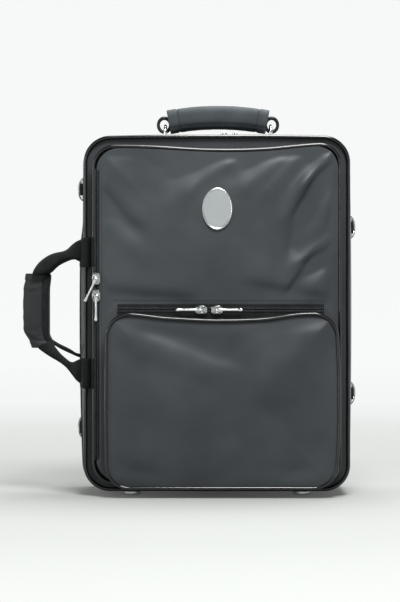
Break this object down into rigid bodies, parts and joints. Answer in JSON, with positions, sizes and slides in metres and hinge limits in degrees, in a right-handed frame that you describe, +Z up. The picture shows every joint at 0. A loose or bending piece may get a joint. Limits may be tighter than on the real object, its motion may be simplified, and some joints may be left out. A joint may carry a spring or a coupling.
{
  "type": "clarinet case",
  "caption": "Upright hard case for clarinets: hinged front shell with a seam zip, velvet wells, zipped outer pockets, top and side handles, strap rings and feet.",
  "frame": {"origin": "on the floor under the case, midway between its left and right sides, on the seam between the two shells", "axes": "+Z up, the front of the case faces -Y, the side handle is on -X and the hinge on +X"},
  "size_m": [0.3605, 0.144, 0.4208],
  "materials": {
    "cloth": "woven nylon, satin",
    "velvet": "short-pile velvet",
    "plywood": "thin laminated board, stained dark",
    "black_steel": "steel strip, lacquered black",
    "piping": "glossy extruded piping",
    "webbing": "tight woven webbing",
    "grip_leather": "soft grained leather cloth",
    "loop_leather": "smooth black leather",
    "nickel": "nickel-plated steel",
    "chrome": "polished chrome plate",
    "zip": "nylon coil on woven tape"
  },
  "bodies": {
    "back_shell": {"back_cover": "cloth", "back_board": "plywood", "back_walls": "plywood", "back_lining": "velvet", "back_piping": "piping", "well_floor": "velvet", "well_rails": "velvet", "joint_dividers": "velvet", "bell_dividers": "velvet", "hinge_leaf_back": "black_steel", "hinge_pin": "black_steel", "hinge_screws_back": "black_steel", "seam_zip_back": "zip", "handle_posts": "chrome", "handle_rivets": "chrome", "ring_tabs": "webbing", "webbing_patches_back": "webbing", "back_feet": "chrome"},
    "front_shell": {"front_cover": "cloth", "front_board": "plywood", "front_walls": "plywood", "front_pad": "velvet", "front_piping": "piping", "hinge_leaf_front": "black_steel", "hinge_screws_front": "black_steel", "seam_zip_front": "zip", "webbing_patches_front": "webbing", "front_feet": "chrome", "music_frame": "cloth", "music_piping": "piping", "music_zip_fixed": "zip"},
    "music_flap": {"music_panel": "cloth", "music_zip_panel": "zip", "oval_plate": "chrome", "pocket_zip_upper": "zip"},
    "accessory_pocket": {"pocket_tray": "cloth", "pocket_piping": "piping", "pocket_zip_lower": "zip"},
    "top_handle": {"top_grip": "grip_leather", "top_loops": "loop_leather"},
    "side_handle_front": {"side_grip_front": "grip_leather", "side_straps_front": "webbing"},
    "side_handle_back": {"side_grip_back": "grip_leather", "side_straps_back": "webbing"},
    "ring_upper_left_body": {"ring_upper_left": "nickel"},
    "ring_lower_left_body": {"ring_lower_left": "nickel"},
    "ring_upper_right_body": {"ring_upper_right": "nickel"},
    "ring_lower_right_body": {"ring_lower_right": "nickel"},
    "seam_slider_left_body": {"seam_slider_left": "nickel"},
    "seam_slider_right_body": {"seam_slider_right": "nickel"},
    "music_slider_upper_body": {"music_slider_upper": "nickel"},
    "music_slider_lower_body": {"music_slider_lower": "nickel"},
    "pocket_slider_left_body": {"pocket_slider_left": "nickel"},
    "pocket_slider_right_body": {"pocket_slider_right": "nickel"},
    "seam_pull_left_body": {"seam_pull_left": "chrome"},
    "seam_pull_right_body": {"seam_pull_right": "chrome"},
    "music_pull_upper_body": {"music_pull_upper": "chrome"},
    "music_pull_lower_body": {"music_pull_lower": "chrome"},
    "pocket_pull_left_body": {"pocket_pull_left": "chrome"},
    "pocket_pull_right_body": {"pocket_pull_right": "chrome"}
  },
  "joints": [
    {"name": "front_shell_hinge", "type": "hinge", "parent": "back_shell", "child": "front_shell", "pos_m": [0.142, 0, 0.194], "axis": [0, 0, 1], "range_deg": [0, 120]},
    {"name": "music_flap_fold", "type": "hinge", "parent": "front_shell", "child": "music_flap", "pos_m": [0.1284, -0.044, 0.193], "axis": [0, 0, 1], "range_deg": [0, 85]},
    {"name": "accessory_pocket_fold", "type": "hinge", "parent": "music_flap", "child": "accessory_pocket", "pos_m": [0.0045, -0.0466, 0.009], "axis": [1, 0, 0], "range_deg": [0, 30]},
    {"name": "top_handle_tilt", "type": "hinge", "parent": "back_shell", "child": "top_handle", "pos_m": [0.0015, 0.031, 0.3905], "axis": [1, 0, 0], "range_deg": [-30, 30]},
    {"name": "side_handle_front_swing", "type": "hinge", "parent": "front_shell", "child": "side_handle_front", "pos_m": [-0.146, -0.021, 0.197], "axis": [0, 0, 1], "range_deg": [0, 75]},
    {"name": "side_handle_back_swing", "type": "hinge", "parent": "back_shell", "child": "side_handle_back", "pos_m": [-0.146, 0.021, 0.197], "axis": [0, 0, -1], "range_deg": [0, 75]},
    {"name": "ring_upper_left_swing", "type": "hinge", "parent": "back_shell", "child": "ring_upper_left_body", "pos_m": [-0.1465, 0.03, 0.3294], "axis": [0, 0, -1], "range_deg": [-145, 15]},
    {"name": "ring_lower_left_swing", "type": "hinge", "parent": "back_shell", "child": "ring_lower_left_body", "pos_m": [-0.1465, 0.03, 0.0693], "axis": [0, 0, -1], "range_deg": [-145, 15]},
    {"name": "ring_upper_right_swing", "type": "hinge", "parent": "back_shell", "child": "ring_upper_right_body", "pos_m": [0.1465, 0.03, 0.288], "axis": [0, 0, 1], "range_deg": [-145, 15]},
    {"name": "ring_lower_right_swing", "type": "hinge", "parent": "back_shell", "child": "ring_lower_right_body", "pos_m": [0.1465, 0.03, 0.1066], "axis": [0, 0, 1], "range_deg": [-145, 15]},
    {"name": "seam_slider_left_run", "type": "slide", "parent": "back_shell", "child": "seam_slider_left_body", "axis": [-1, 0, 0], "range_m": [0, 0.112]},
    {"name": "seam_slider_right_run", "type": "slide", "parent": "back_shell", "child": "seam_slider_right_body", "axis": [1, 0, 0], "range_m": [0, 0.087]},
    {"name": "music_slider_upper_run", "type": "slide", "parent": "music_flap", "child": "music_slider_upper_body", "axis": [0, 0, 1], "range_m": [0, 0.108]},
    {"name": "music_slider_lower_run", "type": "slide", "parent": "music_flap", "child": "music_slider_lower_body", "axis": [0, 0, -1], "range_m": [0, 0.166]},
    {"name": "pocket_slider_left_run", "type": "slide", "parent": "accessory_pocket", "child": "pocket_slider_left_body", "axis": [-1, 0, 0], "range_m": [0, 0.082]},
    {"name": "pocket_slider_right_run", "type": "slide", "parent": "accessory_pocket", "child": "pocket_slider_right_body", "axis": [1, 0, 0], "range_m": [0, 0.106]},
    {"name": "seam_pull_left_lift", "type": "hinge", "parent": "seam_slider_left_body", "child": "seam_pull_left_body", "pos_m": [0.0078, 0, 0.3889], "axis": [1, 0, 0], "range_deg": [0, 105]},
    {"name": "seam_pull_right_lift", "type": "hinge", "parent": "seam_slider_right_body", "child": "seam_pull_right_body", "pos_m": [0.0202, 0, 0.3889], "axis": [1, 0, 0], "range_deg": [0, 105]},
    {"name": "music_pull_upper_lift", "type": "hinge", "parent": "music_slider_upper_body", "child": "music_pull_upper_body", "pos_m": [-0.1276, -0.0499, 0.231], "axis": [-0.8988, 0, 0.4384], "range_deg": [0, 95]},
    {"name": "music_pull_lower_lift", "type": "hinge", "parent": "music_slider_lower_body", "child": "music_pull_lower_body", "pos_m": [-0.1276, -0.0499, 0.213], "axis": [-1, 0, 0], "range_deg": [0, 95]},
    {"name": "pocket_pull_left_lift", "type": "hinge", "parent": "pocket_slider_left_body", "child": "pocket_pull_left_body", "pos_m": [-0.0163, -0.0521, 0.198], "axis": [0, 0, 1], "range_deg": [0, 95]},
    {"name": "pocket_pull_right_lift", "type": "hinge", "parent": "pocket_slider_right_body", "child": "pocket_pull_right_body", "pos_m": [0.0002, -0.0521, 0.198], "axis": [0, 0, -1], "range_deg": [0, 95]}
  ]
}
